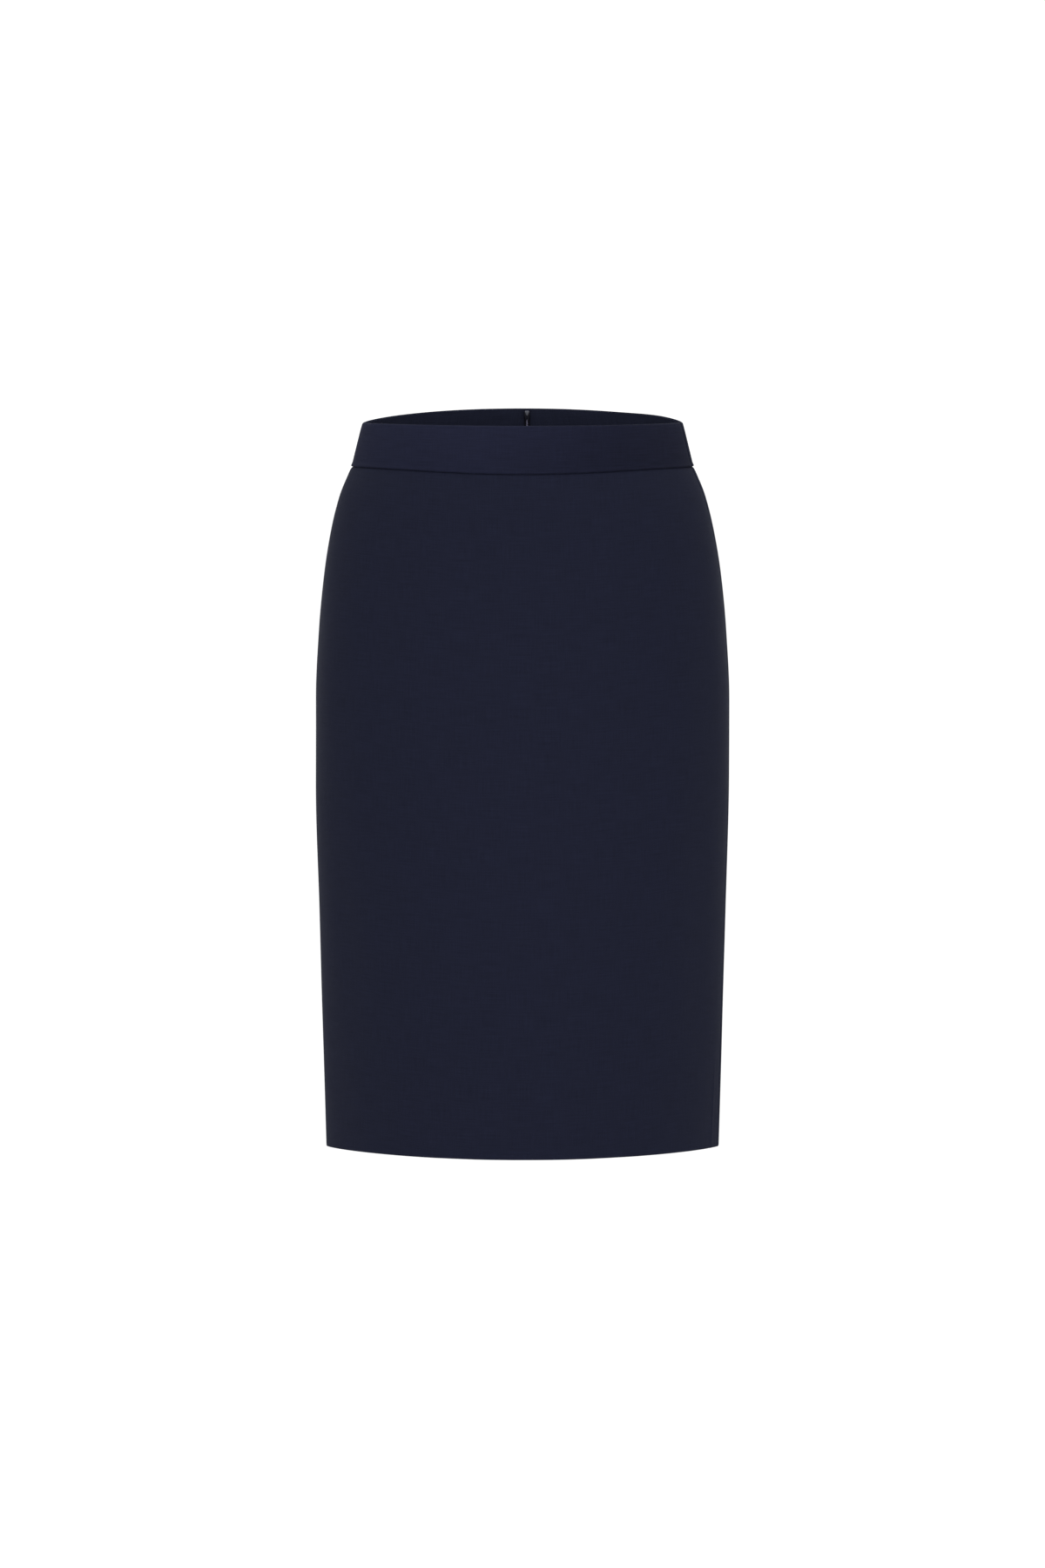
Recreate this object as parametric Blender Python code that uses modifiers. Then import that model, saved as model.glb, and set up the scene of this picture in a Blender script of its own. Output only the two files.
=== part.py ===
"""Pencil skirt with a contoured waistband and a concealed zip, filled out as it is worn.

Metres, +Z up. The front faces -Y and the wearer's left is +X. The origin is the centre of
the waist, level with the top edge of the waistband at the side seams. A level is the drop
below the origin, measured at the side seams. An azimuth is an angle round +Z from +X.
"""

import math
from collections import namedtuple

import bmesh
import bpy
import numpy as np
from mathutils import Matrix, Vector

MM = 0.001

# Cloth.
BAND_DEPTH = 36 * MM
SKIRT_LENGTH = 592 * MM
PANEL_WALL = 1.2 * MM
BAND_WALL = 1.1 * MM
FACING_WALL = 1.0 * MM
SEAM_GAP = 0.4 * MM
LAYER_GAP = 0.35 * MM
SQUARENESS = 2.1
GARMENT_TURN = math.radians(2.3)

# Back vent: the left panel laps over the right panel's underlap.
VENT_TOP = 420 * MM
VENT_UNDERLAP = 35 * MM
VENT_STEP = 5 * MM
VENT_INSET = PANEL_WALL + 0.45 * MM

# Concealed zip.
ZIP_TOP = 0.8 * MM
ZIP_BOTTOM = 195 * MM
TAPE_WIDTH = 12 * MM
TAPE_WALL = 0.6 * MM
COIL_WIDTH = 1.8 * MM
COIL_HEIGHT = 1.2 * MM
FACING_SETBACK = 3.2 * MM
FACING_RISE_FROM = 24 * MM
FACING_RISE_TO = 15 * MM

# Zip slider and pull tab.
SLIDER_LENGTH = 7.0 * MM
SLIDER_TOP_WIDTH = 4.0 * MM
SLIDER_BOTTOM_WIDTH = 3.0 * MM
SLIDER_DEPTH = 2.0 * MM
PIVOT_LEVEL = 4.4 * MM
PIVOT_STANDOFF = 1.2 * MM
LUG_WIDTH = 0.8 * MM
LUG_RADIUS = 1.3 * MM
LUG_BORE = 0.72 * MM
PIN_RADIUS = 0.42 * MM
ARM_RADIUS = 0.75 * MM
ARM_WIDTH = 0.6 * MM
TAB_LENGTH = 22 * MM
TAB_NECK = 1.9 * MM
TAB_END_RADIUS = 2.3 * MM
TAB_WALL = 0.8 * MM
TAB_SLOT_RADIUS = 0.8 * MM

# Columns of cloth walls round the body and rows down it.
FRONT_COLUMNS = 36
BACK_COLUMNS = 18
PANEL_ROWS = 19
ROW_CROWDING = 1.35

Section = namedtuple(
    "Section", "level half_width front_depth back_depth front_rise back_rise roundness"
)
# Millimetres. The waistband is straight from its top edge to its seam, and the panels curve
# over the hips from there. A rise lifts that level at the centre front or the centre back.
# A roundness near 1 brings the front and the back together in a sharp fold at the side.
SECTIONS = [
    Section(0, 131.1, 88.0, 92.0, -0.2, 9.3, 1.25),
    Section(36, 140.0, 96.0, 101.0, -3.3, 7.0, 1.25),
    Section(60, 149.6, 101.0, 110.0, -3.1, 6.5, 1.4),
    Section(90, 156.9, 105.0, 119.0, -2.9, 6.0, 1.55),
    Section(125, 162.4, 109.0, 127.0, -2.6, 5.5, 1.65),
    Section(170, 166.6, 112.0, 132.5, -2.3, 5.0, 1.75),
    Section(225, 169.1, 113.5, 134.5, -2.0, 4.2, 1.75),
    Section(290, 169.1, 114.5, 131.0, -1.7, 3.5, 1.7),
    Section(400, 166.3, 115.5, 121.0, -1.2, 2.0, 1.5),
    Section(592, 161.0, 116.0, 112.0, -0.7, 0.0, 1.3),
]
FRONT_RISE_POWER = 3
BACK_RISE_POWER = 0.85
NEWTON_STEPS = 8

Finish = namedtuple("Finish", "red green blue roughness metallic")
FINISHES = {
    "suiting": Finish(0.0144, 0.0160, 0.0307, 0.85, 0.0),
    "waistband": Finish(0.0149, 0.0164, 0.0312, 0.85, 0.0),
    "facing": Finish(0.0091, 0.0103, 0.0194, 0.8, 0.0),
    "zip_tape": Finish(0.0065, 0.0070, 0.0140, 0.9, 0.0),
    "zip_coil": Finish(0.2540, 0.2500, 0.3200, 0.45, 0.0),
    "nickel": Finish(0.4500, 0.4600, 0.5200, 0.35, 1.0),
}

SIDE_LEFT = -GARMENT_TURN
CENTRE_BACK = math.pi / 2 - GARMENT_TURN
SIDE_RIGHT = math.pi - GARMENT_TURN
SIDE_LEFT_AGAIN = 2 * math.pi - GARMENT_TURN


def clear_scene():
    for obj in list(bpy.data.objects):
        bpy.data.objects.remove(obj, do_unlink=True)


def new_collection(name):
    collection = bpy.data.collections.new(name)
    bpy.context.scene.collection.children.link(collection)
    return collection


def new_material(name):
    finish = FINISHES[name]
    material = bpy.data.materials.new(name)
    material.use_nodes = True
    shader = material.node_tree.nodes["Principled BSDF"]
    shader.inputs["Base Color"].default_value = (finish.red, finish.green, finish.blue, 1)
    shader.inputs["Roughness"].default_value = finish.roughness
    shader.inputs["Metallic"].default_value = finish.metallic
    return material


def monotone_slopes(levels, values):
    """Slopes at the rows that keep a cubic between them free of overshoot."""
    steps = np.diff(values) / np.diff(levels)
    slopes = np.zeros(len(values))
    slopes[0] = steps[0]
    slopes[-1] = steps[-1]
    same_way = steps[:-1] * steps[1:] > 0
    inner = np.zeros(len(steps) - 1)
    before = steps[:-1][same_way]
    after = steps[1:][same_way]
    inner[same_way] = 2 * before * after / (before + after)
    slopes[1:-1] = inner
    return slopes


BAND_TABLE = np.array(SECTIONS[:2])
PANEL_TABLE = np.array(SECTIONS[1:])
PANEL_SLOPES = [monotone_slopes(PANEL_TABLE[:, 0], column) for column in PANEL_TABLE.T]


def section_at(level):
    """The section at this level, in millimetres: straight down the band, curved below it."""
    drop = level / MM
    if drop <= BAND_TABLE[1, 0]:
        share = drop / BAND_TABLE[1, 0]
        return Section(*(BAND_TABLE[0] + share * (BAND_TABLE[1] - BAND_TABLE[0])))
    levels = PANEL_TABLE[:, 0]
    row = min(int(np.searchsorted(levels, drop)), len(levels) - 1)
    width = levels[row] - levels[row - 1]
    share = (drop - levels[row - 1]) / width
    values = []
    for column, slopes in zip(PANEL_TABLE.T, PANEL_SLOPES):
        start = column[row - 1] * (2 * share**3 - 3 * share**2 + 1)
        end = column[row] * (3 * share**2 - 2 * share**3)
        leave = slopes[row - 1] * width * (share**3 - 2 * share**2 + share)
        arrive = slopes[row] * width * (share**3 - share**2)
        values.append(start + end + leave + arrive)
    return Section(*values)


def ring_point(section, azimuth):
    """A point in plan on the outline of one section, in metres.

    Newton's method finds how far out along this azimuth the outline lies, from a start
    outside it.
    """
    across = abs(math.cos(azimuth)) / section.half_width
    depth = section.back_depth if math.sin(azimuth) > 0 else section.front_depth
    along = abs(math.sin(azimuth)) / depth
    radius = 1 / max(across, along)
    for _ in range(NEWTON_STEPS):
        width_term = (radius * across) ** SQUARENESS
        depth_term = (radius * along) ** section.roundness
        slope = (SQUARENESS * width_term + section.roundness * depth_term) / radius
        radius -= (width_term + depth_term - 1) / slope
    radius *= MM
    return Vector((radius * math.cos(azimuth), radius * math.sin(azimuth)))


def ring_speed(level, azimuth):
    """Metres of cloth for each radian of azimuth."""
    section = section_at(level)
    step = 0.002
    return (ring_point(section, azimuth + step) - ring_point(section, azimuth)).length / step


def skirt_point(azimuth, level, inset=0.0):
    """A point of the skirt's outer face, moved inwards by the inset."""
    section = section_at(level)
    place = ring_point(section, azimuth)
    tangent = ring_point(section, azimuth + 0.002) - ring_point(section, azimuth - 0.002)
    outward = Vector((tangent.y, -tangent.x)).normalized()
    place = place - outward * inset
    if math.sin(azimuth) > 0:
        reach = abs(place.y) / (section.back_depth * MM)
        rise = section.back_rise * reach**BACK_RISE_POWER
    else:
        reach = abs(place.y) / (section.front_depth * MM)
        rise = section.front_rise * reach**FRONT_RISE_POWER
    return Vector((place.x, place.y, rise * MM - level))


def even_columns(start, end, count):
    """Columns from seam to seam, half a seam's gap short of each: (azimuth, shift) pairs.

    The one nearest the side's fold is moved onto it.
    """
    azimuths = [start + (end - start) * i / count for i in range(count + 1)]
    for fold in (0, math.pi):
        if start < fold < end:
            nearest = min(range(1, count), key=lambda i: abs(azimuths[i] - fold))
            azimuths[nearest] = fold
    columns = [(azimuth, 0.0) for azimuth in azimuths]
    columns[0] = (start, SEAM_GAP / 2)
    columns[-1] = (end, -SEAM_GAP / 2)
    return columns


def panel_levels():
    """Rows crowded towards the hips, with one on the top of the vent."""
    first = BAND_DEPTH + SEAM_GAP / 2
    span = SKIRT_LENGTH - first
    levels = [first + span * (i / PANEL_ROWS) ** ROW_CROWDING for i in range(PANEL_ROWS + 1)]
    nearest = min(range(len(levels)), key=lambda row: abs(levels[row] - VENT_TOP))
    levels[nearest] = VENT_TOP
    return levels


def zip_spread(level):
    """How far the closed edges part for the slider's neck, from the centre-back line."""
    open_edge = LUG_WIDTH / 2 + LAYER_GAP
    stations = [0, PIVOT_LEVEL - 2.0 * MM, PIVOT_LEVEL + 2.0 * MM, PIVOT_LEVEL + 5 * MM]
    return float(np.interp(level, stations, [0.3 * MM, open_edge, open_edge, SEAM_GAP / 2]))


def cloth_wall(name, columns, levels, thickness, material, inset=None, keep=None):
    """A wall of cloth over a grid of columns round the body and rows down it.

    A column is (azimuth, shift): the shift is metres of cloth, or a function of the level.
    inset(column, level) moves the outer face inwards; keep(column, row) drops faces.
    """
    mesh = bpy.data.meshes.new(name)
    cloth = bmesh.new()
    last_column = len(columns) - 1
    last_row = len(levels) - 1
    bmesh.ops.create_grid(cloth, x_segments=last_column, y_segments=last_row, size=1.0)
    if keep:
        dropped = []
        for face in cloth.faces:
            centre = face.calc_center_median()
            column = int((centre.x + 1) / 2 * last_column)
            row = int((1 - centre.y) / 2 * last_row)
            if not keep(column, row):
                dropped.append(face)
        bmesh.ops.delete(cloth, geom=dropped, context="FACES")
    for vert in cloth.verts:
        column = round((vert.co.x + 1) / 2 * last_column)
        level = levels[round((1 - vert.co.y) / 2 * last_row)]
        azimuth, shift = columns[column]
        if callable(shift):
            shift = shift(level)
        if shift:
            azimuth += shift / ring_speed(level, azimuth)
        vert.co = skirt_point(azimuth, level, inset(column, level) if inset else 0.0)
    cloth.to_mesh(mesh)
    cloth.free()
    mesh.materials.append(material)
    mesh.shade_smooth()
    obj = bpy.data.objects.new(name, mesh)
    wall = obj.modifiers.new("wall", "SOLIDIFY")
    wall.thickness = thickness
    wall.offset = -1
    wall.use_even_offset = True
    return obj


def front_panel(material):
    columns = even_columns(SIDE_RIGHT, SIDE_LEFT_AGAIN, FRONT_COLUMNS)
    return cloth_wall("front_panel", columns, panel_levels(), PANEL_WALL, material)


def back_panel_left(material):
    columns = even_columns(SIDE_LEFT, CENTRE_BACK, BACK_COLUMNS)
    return cloth_wall("back_panel_left", columns, panel_levels(), PANEL_WALL, material)


def back_panel_right(material):
    """Below the top of the vent it steps in at the centre back and runs on as the underlap."""
    levels = panel_levels()
    vent_row = levels.index(VENT_TOP)
    underlap = [(CENTRE_BACK, -VENT_UNDERLAP * share) for share in (1, 0.7, 0.4, 0.15)]
    edge, *rest = even_columns(CENTRE_BACK, SIDE_RIGHT, BACK_COLUMNS)
    columns = [*underlap, edge, (CENTRE_BACK, VENT_STEP), *rest]

    def inset(column, level):
        return VENT_INSET if column <= len(underlap) and level >= VENT_TOP else 0.0

    def keep(column, row):
        return column >= len(underlap) or row >= vent_row

    return cloth_wall(
        "back_panel_right", columns, levels, PANEL_WALL, material, inset=inset, keep=keep
    )


def band_levels(rows):
    return [(BAND_DEPTH - SEAM_GAP / 2) * row / rows for row in range(rows + 1)]


def back_band_levels():
    """Rows at the slider's neck, then even ones to the seam."""
    neck = [0, PIVOT_LEVEL - 2.0 * MM, PIVOT_LEVEL + 2.0 * MM, PIVOT_LEVEL + 5 * MM]
    seam = BAND_DEPTH - SEAM_GAP / 2
    middle = (neck[-1] + seam) / 2
    return [*neck, middle, seam]


def waistband_front(material):
    columns = even_columns(SIDE_RIGHT, SIDE_LEFT_AGAIN, FRONT_COLUMNS)
    return cloth_wall("waistband_front", columns, band_levels(3), BAND_WALL, material)


def waistband_back(side, material):
    if side == "left":
        columns = even_columns(SIDE_LEFT, CENTRE_BACK, BACK_COLUMNS)
        columns[-1] = (CENTRE_BACK, lambda level: -zip_spread(level))
    else:
        columns = even_columns(CENTRE_BACK, SIDE_RIGHT, BACK_COLUMNS)
        columns[0] = (CENTRE_BACK, zip_spread)
    return cloth_wall(
        f"waistband_back_{side}", columns, back_band_levels(), BAND_WALL, material
    )


def facing_front(material):
    columns = even_columns(SIDE_RIGHT, SIDE_LEFT_AGAIN, FRONT_COLUMNS)
    return cloth_wall(
        "facing_front",
        columns,
        band_levels(2),
        FACING_WALL,
        material,
        inset=lambda column, level: BAND_WALL + LAYER_GAP,
    )


def facing_back(side, material):
    """It stops short of the zip's coil and rises over the zip tape beside it."""
    lies_at = BAND_WALL + LAYER_GAP
    over_tape = lies_at + TAPE_WALL + LAYER_GAP
    near = [(FACING_SETBACK, over_tape), (FACING_RISE_TO, over_tape), (FACING_RISE_FROM, lies_at)]
    if side == "left":
        far = even_columns(SIDE_LEFT, CENTRE_BACK, BACK_COLUMNS)[:-3]
        columns = far + [(CENTRE_BACK, -distance) for distance, _ in reversed(near)]
        insets = [lies_at] * len(far) + [inset for _, inset in reversed(near)]
    else:
        far = even_columns(CENTRE_BACK, SIDE_RIGHT, BACK_COLUMNS)[3:]
        columns = [(CENTRE_BACK, distance) for distance, _ in near] + far
        insets = [inset for _, inset in near] + [lies_at] * len(far)
    return cloth_wall(
        f"facing_back_{side}",
        columns,
        band_levels(2),
        FACING_WALL,
        material,
        inset=lambda column, level: insets[column],
    )


def zip_levels(first):
    """The rows of the waistband and the panels that the zip passes, from first down."""
    passed = [*back_band_levels()[1:], *panel_levels()]
    return [first, *[level for level in passed if first < level < ZIP_BOTTOM], ZIP_BOTTOM]


def zip_tape(side, material):
    edges = [TAPE_WIDTH, TAPE_WIDTH / 2, zip_spread]
    if side == "left":
        shifts = [-TAPE_WIDTH, -TAPE_WIDTH / 2, lambda level: -zip_spread(level)]
    else:
        shifts = list(reversed(edges))
    return cloth_wall(
        f"zip_tape_{side}",
        [(CENTRE_BACK, shift) for shift in shifts],
        zip_levels(ZIP_TOP),
        TAPE_WALL,
        material,
        inset=lambda column, level: PANEL_WALL + LAYER_GAP,
    )


def zip_coil(material):
    half = COIL_WIDTH / 2
    first = ZIP_TOP + SLIDER_LENGTH + LAYER_GAP
    return cloth_wall(
        "zip_coil",
        [(CENTRE_BACK, -half), (CENTRE_BACK, 0.0), (CENTRE_BACK, half)],
        zip_levels(first),
        COIL_HEIGHT,
        material,
        inset=lambda column, level: PANEL_WALL + TAPE_WALL + 2 * LAYER_GAP,
    )


def seat_matrix():
    """The slider's frame: origin on the pivot, Y out of the cloth, Z up along it."""
    upper = skirt_point(CENTRE_BACK, 0)
    lower = skirt_point(CENTRE_BACK, BAND_DEPTH)
    lean = math.atan2(lower.y - upper.y, upper.z - lower.z)
    pivot = skirt_point(CENTRE_BACK, PIVOT_LEVEL)
    turn = Matrix.Rotation(lean, 4, "X")
    return Matrix.Translation(pivot) @ turn @ Matrix.Translation((0, PIVOT_STANDOFF, 0))


def flat_plate(name, outlines, thickness, across="X"):
    """A mesh from closed 2D outlines, filled between them, as thick as given.

    Across X, an outline's points are (y, z); across Y, they are (x, z).
    """
    curve = bpy.data.curves.new(name, "CURVE")
    curve.dimensions = "2D"
    curve.fill_mode = "BOTH"
    curve.extrude = thickness / 2
    for outline in outlines:
        spline = curve.splines.new("POLY")
        spline.points.add(len(outline) - 1)
        for point, (first, second) in zip(spline.points, outline):
            point.co = (first, second, 0, 1)
        spline.use_cyclic_u = True
    guide = bpy.data.objects.new(name, curve)
    bpy.context.scene.collection.objects.link(guide)
    graph = bpy.context.evaluated_depsgraph_get()
    mesh = bpy.data.meshes.new_from_object(guide.evaluated_get(graph))
    bpy.data.objects.remove(guide, do_unlink=True)
    if across == "X":
        turn = Matrix(((0, 0, 1, 0), (1, 0, 0, 0), (0, 1, 0, 0), (0, 0, 0, 1)))
    else:
        turn = Matrix(((1, 0, 0, 0), (0, 0, -1, 0), (0, 1, 0, 0), (0, 0, 0, 1)))
    plate = bmesh.new()
    plate.from_mesh(mesh)
    bmesh.ops.transform(plate, matrix=turn, verts=plate.verts)
    bmesh.ops.remove_doubles(plate, verts=plate.verts, dist=1e-6)
    bmesh.ops.recalc_face_normals(plate, faces=plate.faces)
    plate.to_mesh(mesh)
    plate.free()
    mesh.name = name
    return mesh


def arc(centre, radius, start_deg, end_deg, steps):
    """Points on an arc, from one angle to the other."""
    angles = [math.radians(start_deg + (end_deg - start_deg) * i / steps) for i in range(steps + 1)]
    return [
        (centre[0] + radius * math.cos(angle), centre[1] + radius * math.sin(angle))
        for angle in angles
    ]


def pin_mesh(name, radius, length, offset=0.0):
    """A round pin along X."""
    mesh = bpy.data.meshes.new(name)
    pin = bmesh.new()
    turn = Matrix.Translation((offset, 0, 0)) @ Matrix.Rotation(math.pi / 2, 4, "Y")
    bmesh.ops.create_cone(
        pin,
        cap_ends=True,
        segments=24,
        radius1=radius,
        radius2=radius,
        depth=length,
        matrix=turn,
    )
    pin.to_mesh(mesh)
    pin.free()
    return mesh


def joined(name, meshes, seat, material):
    """One body from overlapping meshes: the first is joined by the rest."""
    obj = bpy.data.objects.new(name, meshes[0])
    obj.matrix_world = seat
    meshes[0].materials.clear()
    meshes[0].materials.append(material)
    cutters = bpy.data.collections["skirt_cutters"]
    for number, mesh in enumerate(meshes[1:]):
        helper = bpy.data.objects.new(f"{name}_join_{number}", mesh)
        helper.matrix_world = seat
        helper.hide_render = True
        helper.display_type = "WIRE"
        cutters.objects.link(helper)
        join = obj.modifiers.new(f"join_{number}", "BOOLEAN")
        join.operation = "UNION"
        join.solver = "EXACT"
        join.object = helper
    return obj


def slider_body_mesh():
    """The slider's body inside the cloth: a rounded block, narrower at its lower end."""
    top = PIVOT_LEVEL - ZIP_TOP
    bottom = top - SLIDER_LENGTH
    outer = -(PIVOT_STANDOFF + PANEL_WALL + TAPE_WALL + 2 * LAYER_GAP)
    mesh = bpy.data.meshes.new("zip_slider")
    block = bmesh.new()
    bmesh.ops.create_cube(block, size=1.0)
    for vert in block.verts:
        high = vert.co.z > 0
        width = SLIDER_TOP_WIDTH if high else SLIDER_BOTTOM_WIDTH
        vert.co.x *= width
        vert.co.y = outer + (vert.co.y - 0.5) * SLIDER_DEPTH
        vert.co.z = top if high else bottom
    bmesh.ops.bevel(
        block,
        geom=list(block.edges),
        offset=0.6 * MM,
        offset_type="OFFSET",
        segments=3,
        profile=0.5,
        affect="EDGES",
        material=-1,
    )
    block.to_mesh(mesh)
    block.free()
    return mesh


def zip_slider(seat, material):
    """The slider's body, and its lug that stands out between the closed edges."""
    reach = PIVOT_STANDOFF + PANEL_WALL + TAPE_WALL + 2 * LAYER_GAP + 0.5 * SLIDER_DEPTH
    outline = [(-reach, -LUG_RADIUS), *arc((0, 0), LUG_RADIUS, -90, 90, 16), (-reach, LUG_RADIUS)]
    bore = arc((0, 0), LUG_BORE, 0, 345, 23)
    lug = flat_plate("zip_slider_lug", [outline, bore], LUG_WIDTH)
    return joined("zip_slider", [slider_body_mesh(), lug], seat, material)


def zip_pull_tab(seat, material):
    """A long teardrop tab on two arms, whose pin turns in the slider's lug."""
    end = (0, -(TAB_NECK + TAB_LENGTH - TAB_END_RADIUS))
    shoulder = LUG_WIDTH / 2 + LAYER_GAP + ARM_WIDTH
    outline = [(-shoulder, -TAB_NECK), *arc(end, TAB_END_RADIUS, 180, 360, 20), (shoulder, -TAB_NECK)]
    slot = arc(end, TAB_SLOT_RADIUS, 0, 345, 23)
    plate = flat_plate("zip_pull_tab", [outline, slot], TAB_WALL, across="Y")
    meshes = [plate]
    for side in (-1, 1):
        middle = side * (LUG_WIDTH / 2 + LAYER_GAP + ARM_WIDTH / 2)
        reach = TAB_NECK + 0.6 * MM
        half = TAB_WALL / 2 * 0.9
        profile = [(-half, -reach), (half, -reach), *arc((0, 0), ARM_RADIUS, 0, 180, 12)]
        arm = flat_plate(f"zip_pull_tab_arm_{side}", [profile], ARM_WIDTH)
        arm.transform(Matrix.Translation((middle - side * 0.01 * MM, 0, 0)))
        meshes.append(arm)
    meshes.append(pin_mesh("zip_pull_tab_pin", PIN_RADIUS, 2 * shoulder - 0.2 * MM))
    return joined("zip_pull_tab", meshes, seat, material)


def main():
    clear_scene()
    skirt = new_collection("pencil_skirt")
    cutters = new_collection("skirt_cutters")
    cutters.hide_render = True
    seat = seat_matrix()
    pieces = [
        front_panel(new_material("suiting")),
        back_panel_left(new_material("suiting")),
        back_panel_right(new_material("suiting")),
        waistband_front(new_material("waistband")),
        waistband_back("left", new_material("waistband")),
        waistband_back("right", new_material("waistband")),
        facing_front(new_material("facing")),
        facing_back("left", new_material("facing")),
        facing_back("right", new_material("facing")),
        zip_tape("left", new_material("zip_tape")),
        zip_tape("right", new_material("zip_tape")),
        zip_coil(new_material("zip_coil")),
        zip_slider(seat, new_material("nickel")),
        zip_pull_tab(seat, new_material("nickel")),
    ]
    for piece in pieces:
        skirt.objects.link(piece)


main()
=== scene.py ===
"""The looks of a pencil skirt, sewn onto its frame: cloth shells, seams, zip and studio."""

import math
from collections import namedtuple

import bmesh
import bpy
import numpy as np
from bpy.props import FloatProperty, FloatVectorProperty, PointerProperty
from mathutils import Matrix, Vector


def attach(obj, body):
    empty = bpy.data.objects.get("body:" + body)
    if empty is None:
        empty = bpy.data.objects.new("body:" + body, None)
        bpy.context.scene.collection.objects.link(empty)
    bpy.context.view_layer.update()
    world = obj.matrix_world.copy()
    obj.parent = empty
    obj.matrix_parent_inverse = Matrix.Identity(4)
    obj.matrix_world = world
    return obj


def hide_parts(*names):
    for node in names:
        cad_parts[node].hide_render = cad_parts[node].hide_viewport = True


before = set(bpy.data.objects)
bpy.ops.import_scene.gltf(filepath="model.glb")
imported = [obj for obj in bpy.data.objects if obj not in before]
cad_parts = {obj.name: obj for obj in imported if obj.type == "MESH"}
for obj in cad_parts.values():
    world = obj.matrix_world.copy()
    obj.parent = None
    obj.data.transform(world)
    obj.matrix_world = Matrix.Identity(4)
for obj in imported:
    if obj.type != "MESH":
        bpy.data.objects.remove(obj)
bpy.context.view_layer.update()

bl_info = {
    "name": "Pencil Skirt",
    "version": (1, 0, 0),
    "blender": (4, 5, 0),
    "location": "View3D > Sidebar > Skirt",
    "description": "Sews the cloth, waistband and concealed zip of a pencil skirt onto its frame",
    "category": "Object",
}

MM = 0.001

# The garment's lines round the body. An azimuth is an angle round +Z from +X, and the
# garment is worn a little turned, so its seams lie just past the figure's own sides.
GARMENT_TURN = math.radians(2.3)
SIDE_LEFT = -GARMENT_TURN
CENTRE_BACK = math.pi / 2 - GARMENT_TURN
SIDE_RIGHT = math.pi - GARMENT_TURN
SIDE_LEFT_AGAIN = 2 * math.pi - GARMENT_TURN
SQUARENESS = 2.1
FRONT_RISE_POWER = 3
BACK_RISE_POWER = 0.85
NEWTON_STEPS = 8
SMALL_TURN = 0.002

# The frame's own outlines, in millimetres. The rises are how far a row's centre front and
# centre back stand above its sides. The first two rows are the waistband. A roundness
# near 1 brings the front and the back together in a sharp fold at the side.
Section = namedtuple(
    "Section", "level half_width front_depth back_depth front_rise back_rise roundness"
)
SECTIONS = np.array(
    [
        Section(0, 131.1, 88.0, 92.0, -0.2, 9.3, 1.25),
        Section(36, 140.0, 96.0, 101.0, -3.3, 7.0, 1.25),
        Section(60, 149.6, 101.0, 110.0, -3.1, 6.5, 1.4),
        Section(90, 156.9, 105.0, 119.0, -2.9, 6.0, 1.55),
        Section(125, 162.4, 109.0, 127.0, -2.6, 5.5, 1.65),
        Section(170, 166.6, 112.0, 132.5, -2.3, 5.0, 1.75),
        Section(225, 169.1, 113.5, 134.5, -2.0, 4.2, 1.75),
        Section(290, 169.1, 114.5, 131.0, -1.7, 3.5, 1.7),
        Section(400, 166.3, 115.5, 121.0, -1.2, 2.0, 1.5),
        Section(592, 161.0, 116.0, 112.0, -0.7, 0.0, 1.3),
    ]
)
BAND_SEAM = 36 * MM
HEM = 592.8 * MM  # the cloth's fold hangs a little below the frame's


def monotone_slopes(levels, values):
    """Slopes at each row for a curve that never overshoots a row of the table."""
    steps = np.diff(values, axis=0) / np.diff(levels)[:, None]
    before, after = steps[:-1], steps[1:]
    same_way = before * after > 0
    together = np.where(same_way, before + after, 1)
    middle = np.where(same_way, 2 * before * after / together, 0)
    return np.concatenate([steps[:1], middle, steps[-1:]])


PANEL_SLOPES = monotone_slopes(SECTIONS[1:, 0], SECTIONS[1:, 1:])


def section_at(level):
    """The section at a level, in millimetres: straight down the band, curved below it."""
    drop = level / MM
    if drop <= SECTIONS[1, 0]:
        share = drop / SECTIONS[1, 0]
        return Section(drop, *(SECTIONS[0, 1:] * (1 - share) + SECTIONS[1, 1:] * share))
    levels, values = SECTIONS[1:, 0], SECTIONS[1:, 1:]
    row = int(np.clip(np.searchsorted(levels, drop) - 1, 0, len(levels) - 2))
    span = levels[row + 1] - levels[row]
    share = (drop - levels[row]) / span
    leave, arrive = PANEL_SLOPES[row] * span, PANEL_SLOPES[row + 1] * span
    ease = share * share * (3 - 2 * share)
    bend = (leave * (1 - share) - arrive * share) * share * (1 - share)
    return Section(drop, *(values[row] * (1 - ease) + values[row + 1] * ease + bend))


def ring(azimuth, level):
    """Points in plan on the skirt's outline at one level, and the rise of each.

    Newton's method finds how far out along each azimuth the outline lies, from a start
    outside it.
    """
    section = section_at(level)
    behind = np.sin(azimuth) > 0
    depth = np.where(behind, section.back_depth, section.front_depth)
    across = np.abs(np.cos(azimuth)) / section.half_width
    along = np.abs(np.sin(azimuth)) / depth
    radius = 1 / np.maximum(across, along)
    for _ in range(NEWTON_STEPS):
        width_term = (radius * across) ** SQUARENESS
        depth_term = (radius * along) ** section.roundness
        slope = (SQUARENESS * width_term + section.roundness * depth_term) / radius
        radius -= (width_term + depth_term - 1) / slope
    reach = radius * along
    back = section.back_rise * reach**BACK_RISE_POWER
    rise = np.where(behind, back, section.front_rise * reach**FRONT_RISE_POWER)
    plan = np.stack([radius * np.cos(azimuth), radius * np.sin(azimuth)], axis=-1)
    return plan * MM, rise * MM


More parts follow.
